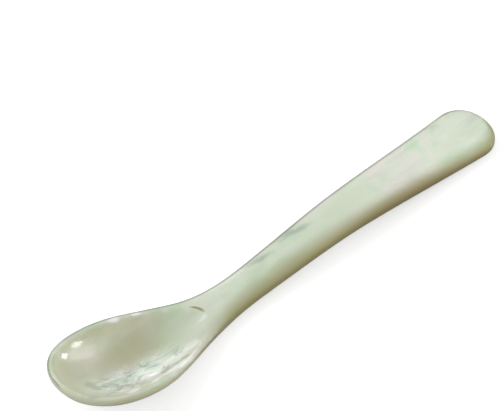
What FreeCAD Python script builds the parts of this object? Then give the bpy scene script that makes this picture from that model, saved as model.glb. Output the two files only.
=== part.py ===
import FreeCAD, Part
import math
import os

# A caviar spoon carved in one piece from mother of pearl.
# Millimetres. X runs from the tip of the bowl to the end of the handle, Y across, Z up.
# Stations are measured along X from the tip of the bowl.

Vector = FreeCAD.Vector

# Plan outline. Each half is four smooth curves: tip, bowl, handle and end. A pull is the
# length of a curve's tangent arm at the point that it names.
LENGTH = 120.0
BOWL_WIDTH = 21.9
BOWL_STATION = 16.1
WAIST_WIDTH = 8.2
WAIST_STATION = 50.2
END_WIDTH = 14.0
END_SHOULDER = 6.5
END_FLARE_ANGLE = 3.4
TIP_PULL = 9.95
BOWL_FRONT_PULL = 4.65
BOWL_BACK_PULL = 12.1
WAIST_FRONT_PULL = 15.6
WAIST_BACK_PULL = 3.9
FLARE_PULL = 40.5
SHOULDER_PULL = 3.5
END_PULL = 4.6

# Side profile of the bowl's rim and the handle's crest, as heights above the table.
TIP_HEIGHT = 13.7
TIP_SLOPE_ANGLE = 17.2
TIP_SLOPE_PULL = 31.4
VALLEY_HEIGHT = 4.05
VALLEY_STATION = 39.1
VALLEY_FRONT_PULL = 4.1
VALLEY_BACK_PULL = 8.9
ARCH_HEIGHT = 5.75
ARCH_STATION = 76.9
ARCH_FRONT_PULL = 10.75
ARCH_BACK_PULL = 14.0
END_HEIGHT = 2.4
END_SLOPE_ANGLE = 1.7
END_SLOPE_PULL = 15.5

# Height of the side wall between the upper and the lower edge, before they are rounded.
BOWL_EDGE = 2.2
WAIST_EDGE = 2.2
ARCH_EDGE = 2.3
END_EDGE = 2.0

# Radii of the cross curvature of the upper surface, which is flat across the bowl's rim,
# and of the underside.
RIM_FLAT_STATION = 33.0
WAIST_TOP_RADIUS = 7.5
ARCH_TOP_RADIUS = 16.0
END_TOP_RADIUS = 80.0
BOWL_UNDER_RADIUS = 15.0
BELLY_STATION = 27.0
BELLY_UNDER_RADIUS = 11.6
WAIST_UNDER_RADIUS = 11.0
ARCH_UNDER_RADIUS = 24.0
END_UNDER_RADIUS = 150.0

# Hollow of the bowl.
LIP_WIDTH = 1.0
HOLLOW_DEPTH = 4.3
HOLLOW_RIM_ANGLE = 52.0
HEEL_STATION = 39.5
HEEL_LENGTH = 8.0

# Rounding of the upper edge and of the hollow's edge, and the bevel under the side wall.
RIM_ROUND = 0.7
LIP_ROUND = 0.7
UNDER_BEVEL = 0.9

# How far the surfaces that trim the blank reach past it, and how many rows of points they
# and the hollow's rim pass through.
MARGIN = 2.0
SHEET_ROWS = 25
RIM_ROWS = 9
CUTTER_SPILL = 0.3
HEEL_CLEARANCE = 0.3


def curve(points):
    """A Bezier curve through its first and last point, shaped by the two between them."""
    bezier = Part.BezierCurve()
    bezier.setPoles([Vector(*p) for p in points])
    return bezier


def tangent(angle_degrees, length):
    """The X and Y parts of a tangent arm."""
    a = math.radians(angle_degrees)
    return length * math.cos(a), length * math.sin(a)


def half_outline():
    """The plan outline on the +Y side, from the tip to the end."""
    bowl, waist, end = BOWL_WIDTH / 2, WAIST_WIDTH / 2, END_WIDTH / 2
    shoulder = LENGTH - END_SHOULDER
    flare_x, flare_y = tangent(END_FLARE_ANGLE, FLARE_PULL)
    turn_x, turn_y = tangent(END_FLARE_ANGLE, SHOULDER_PULL)
    return [
        curve([(0, 0, 0), (0, TIP_PULL, 0), (BOWL_STATION - BOWL_FRONT_PULL, bowl, 0),
               (BOWL_STATION, bowl, 0)]),
        curve([(BOWL_STATION, bowl, 0), (BOWL_STATION + BOWL_BACK_PULL, bowl, 0),
               (WAIST_STATION - WAIST_FRONT_PULL, waist, 0), (WAIST_STATION, waist, 0)]),
        curve([(WAIST_STATION, waist, 0), (WAIST_STATION + WAIST_BACK_PULL, waist, 0),
               (shoulder - flare_x, end - flare_y, 0), (shoulder, end, 0)]),
        curve([(shoulder, end, 0), (shoulder + turn_x, end + turn_y, 0),
               (LENGTH, END_PULL, 0), (LENGTH, 0, 0)]),
    ]


def crest_line():
    """The rim of the bowl and the crest of the handle in the XZ plane."""
    tip_x, tip_z = tangent(TIP_SLOPE_ANGLE, TIP_SLOPE_PULL)
    end_x, end_z = tangent(END_SLOPE_ANGLE, END_SLOPE_PULL)
    return [
        curve([(0, 0, TIP_HEIGHT), (tip_x, 0, TIP_HEIGHT - tip_z),
               (VALLEY_STATION - VALLEY_FRONT_PULL, 0, VALLEY_HEIGHT),
               (VALLEY_STATION, 0, VALLEY_HEIGHT)]),
        curve([(VALLEY_STATION, 0, VALLEY_HEIGHT),
               (VALLEY_STATION + VALLEY_BACK_PULL, 0, VALLEY_HEIGHT),
               (ARCH_STATION - ARCH_FRONT_PULL, 0, ARCH_HEIGHT),
               (ARCH_STATION, 0, ARCH_HEIGHT)]),
        curve([(ARCH_STATION, 0, ARCH_HEIGHT),
               (ARCH_STATION + ARCH_BACK_PULL, 0, ARCH_HEIGHT),
               (LENGTH - end_x, 0, END_HEIGHT + end_z), (LENGTH, 0, END_HEIGHT)]),
    ]


def point_at(curves, x):
    """The point of a run of curves at the station x, found by halving the parameter."""
    here = next((c for c in curves if c.EndPoint.x >= x), curves[-1])
    low, high = 0.0, 1.0
    for _ in range(40):
        middle = (low + high) / 2
        if here.value(middle).x < x:
            low = middle
        else:
            high = middle
    return here.value(low)


def blend(stations, x):
    """A value that passes smoothly from each (station, value) to the next."""
    if x <= stations[0][0]:
        return stations[0][1]
    for (x0, v0), (x1, v1) in zip(stations, stations[1:]):
        if x <= x1:
            t = (x - x0) / (x1 - x0)
            return v0 + (v1 - v0) * t * t * (3 - 2 * t)
    return stations[-1][1]


OUTLINE = half_outline()
CREST = crest_line()
EDGE_HEIGHTS = [(BOWL_STATION, BOWL_EDGE), (WAIST_STATION, WAIST_EDGE),
                (ARCH_STATION, ARCH_EDGE), (LENGTH, END_EDGE)]
TOP_CURVATURES = [(RIM_FLAT_STATION, 0.0), (WAIST_STATION, 1 / WAIST_TOP_RADIUS),
                  (ARCH_STATION, 1 / ARCH_TOP_RADIUS), (LENGTH, 1 / END_TOP_RADIUS)]
UNDER_CURVATURES = [(BOWL_STATION, 1 / BOWL_UNDER_RADIUS),
                    (BELLY_STATION, 1 / BELLY_UNDER_RADIUS),
                    (WAIST_STATION, 1 / WAIST_UNDER_RADIUS),
                    (ARCH_STATION, 1 / ARCH_UNDER_RADIUS), (LENGTH, 1 / END_UNDER_RADIUS)]


def half_width(x):
    return point_at(OUTLINE, min(max(x, 0.0), LENGTH)).y


def crest(x):
    """Height of the rim or the crest, carried on in a straight line past both ends."""
    if x < 0:
        return TIP_HEIGHT - x * math.tan(math.radians(TIP_SLOPE_ANGLE))
    if x > LENGTH:
        return END_HEIGHT - (x - LENGTH) * math.tan(math.radians(END_SLOPE_ANGLE))
    return point_at(CREST, x).z


def keel(x):
    """Height of the underside along the middle."""
    inside = min(max(x, 0.0), LENGTH)
    squared = half_width(inside) ** 2 / 2
    upper_edge = crest(x) - squared * blend(TOP_CURVATURES, x)
    lower_edge = upper_edge - blend(EDGE_HEIGHTS, x)
    return lower_edge - squared * blend(UNDER_CURVATURES, x)


def spline(points, places):
    """A smooth curve through points, at the given distances along it."""
    line = Part.BSplineCurve()
    line.interpolate(Points=points, Parameters=places)
    return line


def net_face(grid, along, across):
    """A smooth face through a grid of points."""
    sections = [spline(row, across) for row in grid]
    rails = [spline(list(poles), along) for poles in zip(*(s.getPoles() for s in sections))]
    net = [list(poles) for poles in zip(*(r.getPoles() for r in rails))]
    surface = Part.BSplineSurface()
    surface.buildFromPolesMultsKnots(net, rails[0].getMultiplicities(),
                                     sections[0].getMultiplicities(), rails[0].getKnots(),
                                     sections[0].getKnots(), False, False, 3, 3)
    return surface.toShape()


def sheet(middle, curvatures, bulge):
    """A face over the whole blank: parabolas across, set along the middle line."""
    reach = BOWL_WIDTH / 2 + MARGIN
    across = [reach * share for share in (-1, -0.5, 0, 0.5, 1)]
    along = [-MARGIN + (LENGTH + 2 * MARGIN) * i / (SHEET_ROWS - 1)
             for i in range(SHEET_ROWS)]
    grid = [[Vector(x, y, middle(x) - bulge * blend(curvatures, x) * y * y / 2)
             for y in across] for x in along]
    return net_face(grid, along, across)


def blank():
    """The outline cut right through, between the upper surface and the underside."""
    near = [c.toShape() for c in OUTLINE]
    far = [e.mirror(Vector(0, 0, 0), Vector(0, 1, 0)) for e in near]
    wire = Part.Wire(Part.__sortEdges__(near + far))
    height = TIP_HEIGHT + 4 * MARGIN
    plan = Part.Face(wire)
    plan.translate(Vector(0, 0, -2 * MARGIN))
    prism = plan.extrude(Vector(0, 0, height + 2 * MARGIN))
    below_top = sheet(crest, TOP_CURVATURES, 1).extrude(Vector(0, 0, -2 * height))
    above_keel = sheet(keel, UNDER_CURVATURES, -1).extrude(Vector(0, 0, 2 * height))
    return prism.common(below_top).common(above_keel)


def face_at(shape, point):
    """The face of the shape that passes through a point."""
    vertex = Part.Vertex(point)
    return min(shape.Faces, key=lambda f: f.distToShape(vertex)[0])


def hollow_rim():
    """Points of the hollow's rim on the +Y side: the outline moved in by the lip's width."""
    points = []
    for arc in OUTLINE[:2]:
        for i in range(RIM_ROWS):
            t = i / RIM_ROWS
            along = arc.tangent(t)[0]
            inward = Vector(along.y, -along.x, 0)
            points.append(arc.value(t) + inward * LIP_WIDTH)
    return points


def heel(x):
    """Share of the width that is left at the station x, where the heel rounds the hollow off."""
    inset = max(0.0, (x - HEEL_STATION + HEEL_LENGTH) / HEEL_LENGTH)
    return 1 - inset ** 2


def hollow():
    """The hollow's cutter. Across, it is half an ellipse whose middle is above the rim, so
    that its wall meets the rim at the rim angle and rounds off at the tip and the heel."""
    half = BOWL_WIDTH / 2 - LIP_WIDTH
    slope = math.tan(math.radians(HOLLOW_RIM_ANGLE))
    flatness = HOLLOW_DEPTH / math.sqrt(half ** 2 - 2 * HOLLOW_DEPTH * half / slope)
    lift = flatness ** 2 * half / slope
    core = lift / flatness
    spill = CUTTER_SPILL * core ** 2
    rim = hollow_rim()
    last = HEEL_STATION - HEEL_CLEARANCE
    squares = [(p.x, p.y ** 2 * heel(p.x)) for p in rim if p.x < last]
    tip_turn = squares[1][1] / (squares[1][0] - squares[0][0])
    heel_turn = squares[-1][1] / (HEEL_STATION - squares[-1][0])
    squares.insert(0, (squares[0][0] - spill / tip_turn, -spill))
    squares += [(HEEL_STATION, 0.0), (HEEL_STATION + spill / heel_turn, -spill)]
    angles = [math.radians(a) for a in range(-90, 91, 15)]
    grid = []
    for x, square in squares:
        reach = math.sqrt(square + core ** 2)
        middle = crest(x) + lift
        grid.append([Vector(x, reach * math.sin(a), middle - reach * flatness * math.cos(a))
                     for a in angles])
    floor = net_face(grid, [x for x, _ in squares], angles)
    return floor.extrude(Vector(0, 0, 2 * TIP_HEIGHT))


def spoon():
    """The blank with its edges eased, hollowed out, and set down on the table."""
    half_lip = LIP_WIDTH / 2
    body = blank().Solids[0]
    top = face_at(body, Vector(ARCH_STATION, 0, crest(ARCH_STATION)))
    body = body.makeFillet(min(RIM_ROUND, half_lip), top.Edges)
    under = face_at(body, Vector(ARCH_STATION, 0, keel(ARCH_STATION)))
    body = body.makeChamfer(UNDER_BEVEL, under.Edges).cut(hollow()).Solids[0]
    floor = face_at(body, Vector(BOWL_STATION, 0, crest(BOWL_STATION) - HOLLOW_DEPTH))
    body = body.makeFillet(min(LIP_ROUND, half_lip), floor.Edges).Solids[0]
    body.translate(Vector(-LENGTH / 2, 0, -body.optimalBoundingBox().ZMin))
    return body


os.makedirs("parts", exist_ok=True)
spoon().exportStep("parts/spoon.step")
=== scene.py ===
import bpy
import math
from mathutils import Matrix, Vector

# A caviar spoon carved from mother of pearl, lying on a white table.
# Metres, in the row frame: X from the bowl's tip to the handle's end, Z up.

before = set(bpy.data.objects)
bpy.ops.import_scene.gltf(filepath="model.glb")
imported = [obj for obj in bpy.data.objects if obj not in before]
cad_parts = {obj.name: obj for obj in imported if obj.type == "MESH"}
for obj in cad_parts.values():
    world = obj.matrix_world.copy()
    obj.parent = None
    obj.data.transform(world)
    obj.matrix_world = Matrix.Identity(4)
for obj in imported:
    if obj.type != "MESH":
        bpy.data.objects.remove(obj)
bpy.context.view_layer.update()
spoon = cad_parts["spoon"]

# Camera, as the photograph shows the spoon. The spoon's middle is off the picture's middle,
# by the two aims in pixels.
VIEW_AZIMUTH = math.radians(42.93)
VIEW_ELEVATION = math.radians(50.89)
VIEW_DISTANCE = 1.0
FOCAL_PIXELS = 4784.0
PICTURE_WIDTH = 500.0
SENSOR_WIDTH = 36.0
AIM_RIGHT = -28.4
AIM_UP = 66.0

# Square lamps: name, position, size, power in watts, and the place that each looks at.
MIDDLE = (0, 0, 0)
BOWL = (-0.05, 0, 0.01)
LAMPS = (
    ("key", (-0.42, 0.64, 0.60), 0.8, 5.0, MIDDLE),
    ("front", (-0.1, -0.6, 0.7), 0.5, 1.6, MIDDLE),
    ("right", (0.8, -0.18, 0.4), 0.3, 0.6, MIDDLE),
    ("glint_high", (0.596, -0.307, 0.225), 0.1, 0.4, BOWL),
    ("glint_low", (0.677, -0.122, 0.122), 0.08, 0.4, BOWL),
    ("back", (0.30, 0.62, 0.11), 0.3, 0.45, MIDDLE),
)

# The sky is darker by the horizon, and reaches its full strength at this height of direction.
SKY_LOW_STRENGTH = 0.12
SKY_STRENGTH = 0.55
SKY_FULL_HEIGHT = 0.7

# The table. The glow brings it to white for the camera alone.
TABLE_SIZE = 6.0
TABLE_GAP = 0.00002
TABLE_GREY = (0.8, 0.8, 0.8, 1)
TABLE_GREY_FELT = (0.5, 0.5, 0.5, 1)
TABLE_GLOW = 0.47

# The plan of the spoon, for colours that follow its edge: the distance from the bowl's tip and
# the half width there, in millimetres. A curve node holds the widths as shares of the unit.
HALF_LENGTH = 60.0
WIDTH_UNIT = 12.0
HALF_WIDTHS = ((0, 0), (0.5, 3.3), (3, 7.1), (6, 9.1), (10, 10.35), (16, 10.95), (22, 10.4),
               (28, 8.8), (34, 6.8), (40, 5.2), (46, 4.3), (52, 4.1), (75, 4.95), (90, 5.7),
               (105, 6.5), (113, 7.0), (117, 6.15), (119, 4.1), (120, 0))

# The shading eases over an edge within this radius.
EASE_RADIUS = 0.0018
EASE_SAMPLES = 6

# The upright share of the eased normal, 1 on the top and 0 on an upright side, tells where
# each finish goes. It blends in, or for the cut side out, from the first value to the second.
TOP_RISE = (0.1, 0.5)
SIDE_RISE = (0.42, 0.99)
# This one places the thin painted shade line along the far edge.
FAR_SHADE_RISE = (0.2, 0.6)
GLOSS_RISE = (0.3, 0.95)

# Where the colours of the side and the painted shade by the near edge blend into each other
# along the spoon, in metres along X.
TIP_SIDE_ENDS = (-0.060, -0.050)
BOWL_SIDE_ENDS = (-0.040, -0.020)
NEAR_SHADE_BEGINS = (-0.029, -0.014)
HANDLE_END = (0.0570, 0.0592)

# How far the olive painted shade by the near edge and the dark painted shade line along the far
# edge reach inwards.
NEAR_SHADE_WIDTH = 0.0041
FAR_SHADE_WIDTH = 0.0010

# The growth bands run slantwise over the handle, at this turn in degrees.
BAND_TURN = -32

# How far the border of a mark wanders: most marks, and the painted highlights.
WANDER_SCALE = 300.0
WANDER = (0.0028, 0.0028, 0.0)
HIGHLIGHT_WANDER = (0.0010, 0.0010, 0.0)


def rgb(r, g, b):
    """A colour from 0 to 255 sRGB values, as the linear values that the shader takes."""
    return tuple(((c / 255 + 0.055) / 1.055) ** 2.4 if c > 10.31 else c / 255 / 12.92
                 for c in (r, g, b)) + (1.0,)


# Ramps of colour, from the shares of noise where each colour lies.
BAND_COLORS = ((0.34, rgb(172, 188, 170)), (0.44, rgb(204, 217, 196)),
               (0.53, rgb(220, 230, 211)), (0.63, rgb(237, 237, 225)))
CLOUD_COLORS = ((0.38, rgb(192, 222, 186)), (0.5, rgb(220, 230, 209)),
                (0.61, rgb(228, 221, 217)))
# Silvery ripples for the bowl's near wall; the whitest stop is painted glints.
SILVER_AND_GLINT_COLORS = ((0.37, rgb(126, 136, 132)), (0.45, rgb(202, 213, 203)),
                 (0.54, rgb(223, 234, 222)), (0.62, rgb(253, 255, 252)))
SPARK_COLORS = ((0.4, rgb(190, 222, 190)), (0.5, rgb(222, 228, 216)),
                (0.6, rgb(230, 206, 214)))
LAYER_COLORS = ((0.35, rgb(134, 119, 74)), (0.5, rgb(154, 141, 96)),
                (0.65, rgb(172, 163, 122)))

# Oval marks, as seen from above: the distance from the bowl's tip, the distance from the
# middle line, the length and the width in millimetres, the turn in degrees, and, where it
# isn't the usual one, how soft the border is.
BOWL_MIDDLE = (22.0, 2.6, 38, 17, 3, 0.9)
BOWL_MIDDLE_COLOR = rgb(170, 169, 132)
# The near wall takes the ripples, lightened as painted light where it faces the lamps.
SILVER_AND_LIT_WALLS = (((19.0, -5.1, 42, 14, -2, 0.75), 0.85),
                ((11.5, -4.8, 22, 11, -6, 0.6), 0.75))
NECK = (58, 0, 76, 34, 0, 0.9)
NECK_COLOR = rgb(199, 212, 187)
GREEN_PATCHES = (((34, -0.5, 22, 16, 0), rgb(180, 196, 168)),
                 ((79, 0.5, 30, 11, 8), rgb(196, 218, 184)),
                 ((113, 0.5, 16, 14, 0), rgb(228, 237, 218)))
# The grey patches: two on the handle and one by the tip; the last is a painted dark reflection
# among the highlights on the bowl's near wall.
GREY_PATCHES_AND_DARK_REFLECTION = ((66.8, 2.6, 11, 2.6, -14), (56.3, 2.5, 10, 2.6, -14),
                (7.5, -1.6, 3, 5, 15), (17.0, -4.9, 6, 1.3, 8))
GREY_COLOR = rgb(160, 173, 160)
# The brown crescent at the bowl's heel is painted shade on the hollow's steep heel wall.
HEEL_SHADE_OUTER = (35.5, 0.0, 8.6, 8.6, 0, 0.06)
HEEL_SHADE_INNER = (35.2, -0.15, 8.1, 8.1, 0, 0.06)
HEEL_SHADE_STRETCH = (38.9, 1.65, 4.4, 3.0, -62, 0.7)
HEEL_SHADE_COLOR = rgb(152, 146, 98)
TIP = (4.0, 1.5, 20, 17, 0, 0.9)
TIP_COLOR = rgb(204, 214, 180)
# Brown painted shade on the near side at the middle of the handle.
NEAR_SIDE_BROWN_SHADE = (94.0, -6.2, 50, 6, -4, 0.8)
NEAR_SIDE_BROWN_SHADE_COLOR = rgb(134, 112, 72)
# Painted highlights: white marks for the lamps' glints, a streak and a star on the near wall of
# the bowl and two on the far rim.
PAINTED_HIGHLIGHTS = ((24.8, -7.9, 12, 3.2, -2), (12.8, -8.1, 6.0, 3.0, 20),
           (19.0, -7.9, 4, 1.5, 12), (20.6, -5.6, 5, 1.4, -8),
           (22.4, 9.3, 4.4, 1.3, -10), (27.5, 8.1, 3.6, 1.2, -20))
PAINTED_HIGHLIGHT_COLOR = rgb(254, 255, 252)

# The olive painted shade on the near side, the cut side of the shell, and the thin painted
# shade line along the far edge.
NEAR_SHADE_COLOR = rgb(162, 155, 102)
BOWL_SIDE_COLOR = rgb(221, 220, 182)
TIP_SIDE_COLOR = rgb(240, 241, 212)
FAR_SHADE_COLOR = rgb(112, 118, 102)


def aim(thing, direction):
    """Turns a camera or a lamp so that it looks along a direction, level with the table."""
    thing.rotation_mode = "QUATERNION"
    thing.rotation_quaternion = direction.to_track_quat("-Z", "Y")


def add_camera():
    """The camera, aimed so that the spoon sits in the picture as in the photograph."""
    sin_a, cos_a = math.sin(VIEW_AZIMUTH), math.cos(VIEW_AZIMUTH)
    sin_e, cos_e = math.sin(VIEW_ELEVATION), math.cos(VIEW_ELEVATION)
    forward = Vector((sin_a * cos_e, cos_a * cos_e, -sin_e))
    right = Vector((cos_a, -sin_a, 0))
    up = Vector((sin_a * sin_e, cos_a * sin_e, cos_e))
    data = bpy.data.cameras.new("camera")
    data.sensor_width = SENSOR_WIDTH
    data.lens = FOCAL_PIXELS / PICTURE_WIDTH * SENSOR_WIDTH
    camera = bpy.data.objects.new("camera", data)
    bpy.context.scene.collection.objects.link(camera)
    camera.location = -forward * VIEW_DISTANCE
    aim(camera, forward * FOCAL_PIXELS + right * AIM_RIGHT + up * AIM_UP)
    bpy.context.scene.camera = camera


def add_lamp(name, position, size, power, target):
    """A soft square lamp that looks at one place on the spoon."""
    data = bpy.data.lights.new(name, "AREA")
    data.size = size
    data.energy = power
    lamp = bpy.data.objects.new(name, data)
    lamp.location = position
    aim(lamp, Vector(target) - Vector(position))
    bpy.context.scene.collection.objects.link(lamp)


class Nodes:
    """A short way to write the nodes of one material."""

    def __init__(self, name):
        self.material = bpy.data.materials.new(name)
        self.material.use_nodes = True
        self.tree = self.material.node_tree
        self.tree.nodes.clear()

    def add(self, kind, inputs=None, **settings):
        node = self.tree.nodes.new("ShaderNode" + kind)
        for key, value in settings.items():
            setattr(node, key, value)
        for key, value in (inputs or {}).items():
            self.feed(node.inputs[key], value)
        return node

    def feed(self, socket, value):
        if isinstance(value, bpy.types.NodeSocket):
            self.tree.links.new(value, socket)
        else:
            socket.default_value = value

    def math(self, operation, a, b=0.0):
        return self.add("Math", {0: a, 1: b}, operation=operation).outputs[0]

    def times(self, a, b):
        return self.math("MULTIPLY", a, b)

    def step(self, value, low, high, start=0.0, end=1.0):
        """A soft step from start to end while the value goes from low to high."""
        return self.add("MapRange", {"Value": value, "From Min": low, "From Max": high,
                                     "To Min": start, "To Max": end},
                        interpolation_type="SMOOTHSTEP").outputs[0]

    def mix(self, factor, a, b):
        node = self.add("Mix", data_type="RGBA")
        self.feed(node.inputs[0], factor)
        self.feed(node.inputs[6], a)
        self.feed(node.inputs[7], b)
        return node.outputs[2]

    def ramp(self, value, stops):
        node = self.add("ValToRGB", {0: value})
        elements = node.color_ramp.elements
        while len(elements) > 1:
            elements.remove(elements[-1])
        elements[0].position, elements[0].color = stops[0]
        for position, color in stops[1:]:
            elements.new(position).color = color
        return node.outputs[0]

    def noise(self, place, turn, scale, detail=3.0, roughness=0.5, distortion=0.0):
        """Noise whose grain is drawn out along a direction in the plan."""
        grain = self.add("Mapping", {"Vector": place, "Rotation": (0, 0, math.radians(turn)),
                                     "Scale": scale}).outputs[0]
        return self.add("TexNoise", {"Vector": grain, "Scale": 1.0, "Detail": detail,
                                     "Roughness": roughness,
                                     "Distortion": distortion}).outputs[0]

    def wander(self, place, drift, distance):
        """The place, moved a little to all sides."""
        return self.add("VectorMath", {0: drift, 1: distance, 2: place},
                        operation="MULTIPLY_ADD").outputs[0]

    def edges(self, place, points):
        """Distances in the plan to the -Y and the +Y edge, from half widths along the spoon."""
        x, y, _ = self.add("SeparateXYZ", {0: place}).outputs
        station = self.add("MapRange", {"Value": x, "From Min": -HALF_LENGTH / 1000,
                                        "From Max": HALF_LENGTH / 1000}).outputs[0]
        node = self.add("FloatCurve", {"Value": station})
        curve = node.mapping.curves[0]
        curve.points[0].location = (0, points[0][1])
        curve.points[1].location = (1, points[-1][1])
        for spot, half in points[1:-1]:
            curve.points.new(spot / HALF_LENGTH / 2, half)
        node.mapping.update()
        half = self.times(node.outputs[0], WIDTH_UNIT / 1000)
        return self.math("ADD", half, y), self.math("SUBTRACT", half, y)

    def spot(self, place, station, side, length, width, turn, edge=0.8):
        """An oval mark as seen from above: 1 in its middle, 0 outside."""
        centre = ((station - HALF_LENGTH) / 1000, side / 1000, 0)
        local = self.add("Mapping", {"Vector": place, "Location": centre,
                                     "Rotation": (0, 0, math.radians(turn)),
                                     "Scale": (length / 2000, width / 2000, 1)},
                         vector_type="TEXTURE").outputs[0]
        inward = self.add("TexGradient", {"Vector": local},
                          gradient_type="SPHERICAL").outputs[1]
        return self.step(inward, 0.0, edge)

    def paint(self, tint, place, top, mark, share, color):
        """The tint with a colour mixed in at an oval mark on the upper side."""
        here = self.times(self.spot(place, *mark), top)
        return self.mix(self.times(here, share), tint, color)


def growth_bands(n, place):
    """Silky growth bands, with green and rosy clouds."""
    bands = n.noise(place, BAND_TURN, (75, 190, 110), 4.0, 0.6, 0.45)
    clouds = n.noise(place, -20, (90, 150, 100), 3.0, 0.55, 0.5)
    return n.mix(0.5, n.ramp(bands, BAND_COLORS), n.ramp(clouds, CLOUD_COLORS))


def bowl_tints_and_highlights(n, tint, place, top):
    """The bowl: olive in the middle, with rippled silver on the near wall, lightened as painted
    light and flecked white as painted highlights where the wall faces the lamps.
    """
    tint = n.paint(tint, place, top, BOWL_MIDDLE, 0.85, BOWL_MIDDLE_COLOR)
    ripples = n.noise(place, 10, (190, 520, 300), 3.5, 0.62, 1.0)
    sparks = n.noise(place, 0, (330, 420, 420), 2.0, 0.5, 0.5)
    silver = n.mix(0.25, n.ramp(ripples, SILVER_AND_GLINT_COLORS), n.ramp(sparks, SPARK_COLORS))
    for mark, share in SILVER_AND_LIT_WALLS:
        tint = n.paint(tint, place, top, mark, share, silver)
    return tint


def patches(n, tint, place, top):
    """The darker and greener neck, green and pale patches, and grey patches, one of them a
    painted dark reflection.
    """
    tint = n.paint(tint, place, top, NECK, 0.55, NECK_COLOR)
    for mark, color in GREEN_PATCHES:
        tint = n.paint(tint, place, top, mark, 0.5, color)
    for mark in GREY_PATCHES_AND_DARK_REFLECTION:
        tint = n.paint(tint, place, top, mark, 0.7, GREY_COLOR)
    return tint


def heel_shade(n, tint, place, top):
    """The small brown crescent at the heel of the bowl: painted shade on the hollow's steep
    heel wall.
    """
    outer = n.spot(place, *HEEL_SHADE_OUTER)
    inner = n.spot(place, *HEEL_SHADE_INNER)
    stretch = n.spot(place, *HEEL_SHADE_STRETCH)
    crescent = n.times(n.times(outer, n.math("SUBTRACT", 1.0, inner)), stretch)
    return n.mix(n.times(crescent, top), tint, HEEL_SHADE_COLOR)


def cut_side_and_near_shade(n, tint, place, rise, near):
    """The cut side shows the shell's layers: olive and brown, but pale around the bowl. The
    near side also gets olive painted shade by its edge and brown painted shade at the handle's
    middle.
    """
    along = n.add("SeparateXYZ", {0: place}).outputs[0]
    side = n.step(n.math("ABSOLUTE", rise), *SIDE_RISE, 1.0, 0.0)
    layers = n.ramp(n.noise(place, 0, (60, 60, 1500), 3.0, 0.5, 0.4), LAYER_COLORS)
    shown = n.step(along, *HANDLE_END, 0.95, 0.5)
    tint = n.mix(n.times(side, shown), tint, layers)

    # olive painted shade by the near edge, where the rounded edge turns from the light
    near_edge_shade = n.step(near, 0.0, NEAR_SHADE_WIDTH, 0.9, 0.0)
    off_the_bowl = n.step(along, *NEAR_SHADE_BEGINS, 0.15, 1.0)
    tint = n.mix(n.times(near_edge_shade, off_the_bowl), tint, NEAR_SHADE_COLOR)
    # brown painted shade on the near side at the handle's middle
    tint = n.mix(n.times(n.spot(place, *NEAR_SIDE_BROWN_SHADE), 0.5), tint, NEAR_SIDE_BROWN_SHADE_COLOR)

    bowl = n.step(along, *BOWL_SIDE_ENDS, 0.95, 0.0)
    cream = n.mix(n.step(along, *TIP_SIDE_ENDS), TIP_SIDE_COLOR, BOWL_SIDE_COLOR)
    return n.mix(n.times(bowl, side), tint, cream)


def polish(n, place, eased):
    """The normal of a polished surface, with soft waves and the bands' fine grain."""
    waves = n.noise(place, 8, (300, 620, 400), 2.0, 0.5, 0.5)
    grain = n.noise(place, BAND_TURN, (500, 2600, 1500), 3.0, 0.6, 0.3)
    height = n.math("ADD", n.times(grain, 0.08), waves)
    return n.add("Bump", {"Strength": 1.0, "Distance": 0.00004, "Height": height,
                          "Normal": eased}).outputs[0]


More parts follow.
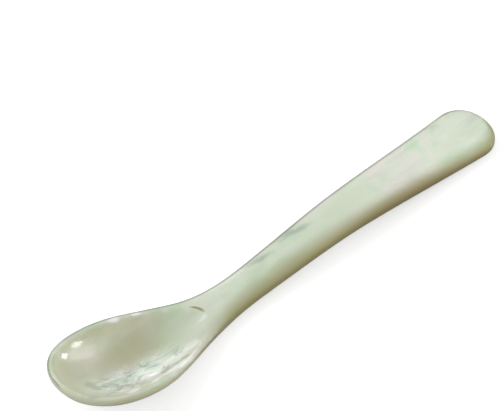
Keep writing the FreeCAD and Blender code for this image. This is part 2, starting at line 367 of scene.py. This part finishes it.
def nacre():
    """Polished mother of pearl: pale green and cream, with growth bands and a silky sheen."""
    n = Nodes("nacre")
    place = n.add("TexCoord").outputs["Object"]
    eased = n.add("Bevel", {"Radius": EASE_RADIUS}, samples=EASE_SAMPLES).outputs[0]
    rise = n.add("SeparateXYZ", {0: eased}).outputs[2]
    top = n.step(rise, *TOP_RISE)
    near, far = n.edges(place, [(at, half / WIDTH_UNIT) for at, half in HALF_WIDTHS])

    # places for marks with uneven borders
    swirl = n.add("TexNoise", {"Vector": place, "Scale": WANDER_SCALE, "Detail": 3.0})
    drift = n.add("VectorMath", {0: swirl.outputs[1], 1: (0.5, 0.5, 0.5)},
                  operation="SUBTRACT").outputs[0]
    shaken = n.wander(place, drift, WANDER)
    # calmer borders for the painted highlights
    highlight_place = n.wander(place, drift, HIGHLIGHT_WANDER)

    tint = growth_bands(n, place)
    tint = bowl_tints_and_highlights(n, tint, shaken, top)
    tint = patches(n, tint, shaken, top)
    # painted shade at the bowl's heel
    tint = heel_shade(n, tint, place, top)
    tint = n.paint(tint, shaken, top, TIP, 0.5, TIP_COLOR)
    # the cut side, and the painted shade on the near side
    tint = cut_side_and_near_shade(n, tint, place, rise, near)
    # painted highlights of the lamps on the bowl
    for mark in PAINTED_HIGHLIGHTS:
        tint = n.paint(tint, highlight_place, top, mark, 0.95, PAINTED_HIGHLIGHT_COLOR)
    # a thin dark painted shade line along the far edge, where the spoon is seen edge-on
    far_edge_shade = n.times(n.step(far, 0.0, FAR_SHADE_WIDTH, 0.9, 0.0),
                       n.step(rise, *FAR_SHADE_RISE))
    tint = n.mix(far_edge_shade, tint, FAR_SHADE_COLOR)

    shader = n.add("BsdfPrincipled", {
        "Base Color": tint, "Roughness": 0.3, "IOR": 1.55, "Normal": polish(n, place, eased),
        "Coat Weight": n.step(rise, *GLOSS_RISE, 0.15, 0.75), "Coat Roughness": 0.07,
        "Coat IOR": 1.5, "Subsurface Weight": 0.15, "Subsurface Scale": 0.001,
        "Subsurface Radius": (1.0, 0.9, 0.6)})
    n.add("OutputMaterial", {0: shader.outputs[0]})
    return n.material


def table_material():
    """A white table: it takes soft shadows, and it is white where the camera sees it."""
    n = Nodes("table")
    shadowed = n.add("BsdfDiffuse", {"Color": TABLE_GREY})
    felt = n.add("BsdfDiffuse", {"Color": TABLE_GREY_FELT})
    glow = n.add("Emission", {"Color": (1, 1, 1, 1), "Strength": TABLE_GLOW})
    seen = n.add("AddShader", {0: shadowed.outputs[0], 1: glow.outputs[0]})
    by_camera = n.add("LightPath").outputs["Is Camera Ray"]
    mixed = n.add("MixShader", {0: by_camera, 1: felt.outputs[0], 2: seen.outputs[0]})
    n.add("OutputMaterial", {0: mixed.outputs[0]})
    return n.material


def add_table():
    """The pale table under the spoon."""
    bpy.ops.mesh.primitive_plane_add(size=TABLE_SIZE, location=(0, 0, -TABLE_GAP))
    table = bpy.context.object
    table.name = "table"
    table.data.materials.append(table_material())


def add_sky():
    """A white studio all round, darker towards the horizon."""
    world = bpy.data.worlds.new("studio")
    world.use_nodes = True
    tree = world.node_tree
    background = tree.nodes["Background"]
    direction = tree.nodes.new("ShaderNodeTexCoord")
    height = tree.nodes.new("ShaderNodeSeparateXYZ")
    strength = tree.nodes.new("ShaderNodeMapRange")
    strength.interpolation_type = "SMOOTHSTEP"
    for name, value in (("From Min", 0.0), ("From Max", SKY_FULL_HEIGHT),
                        ("To Min", SKY_LOW_STRENGTH), ("To Max", SKY_STRENGTH)):
        strength.inputs[name].default_value = value
    tree.links.new(direction.outputs["Generated"], height.inputs[0])
    tree.links.new(height.outputs[2], strength.inputs["Value"])
    tree.links.new(strength.outputs[0], background.inputs["Strength"])
    background.inputs["Color"].default_value = (1, 1, 1, 1)
    bpy.context.scene.world = world


add_camera()
for lamp in LAMPS:
    add_lamp(*lamp)
add_table()
add_sky()
bpy.context.scene.view_settings.view_transform = "Standard"

spoon.data.materials.clear()
spoon.data.materials.append(nacre())
for polygon in spoon.data.polygons:
    polygon.use_smooth = True
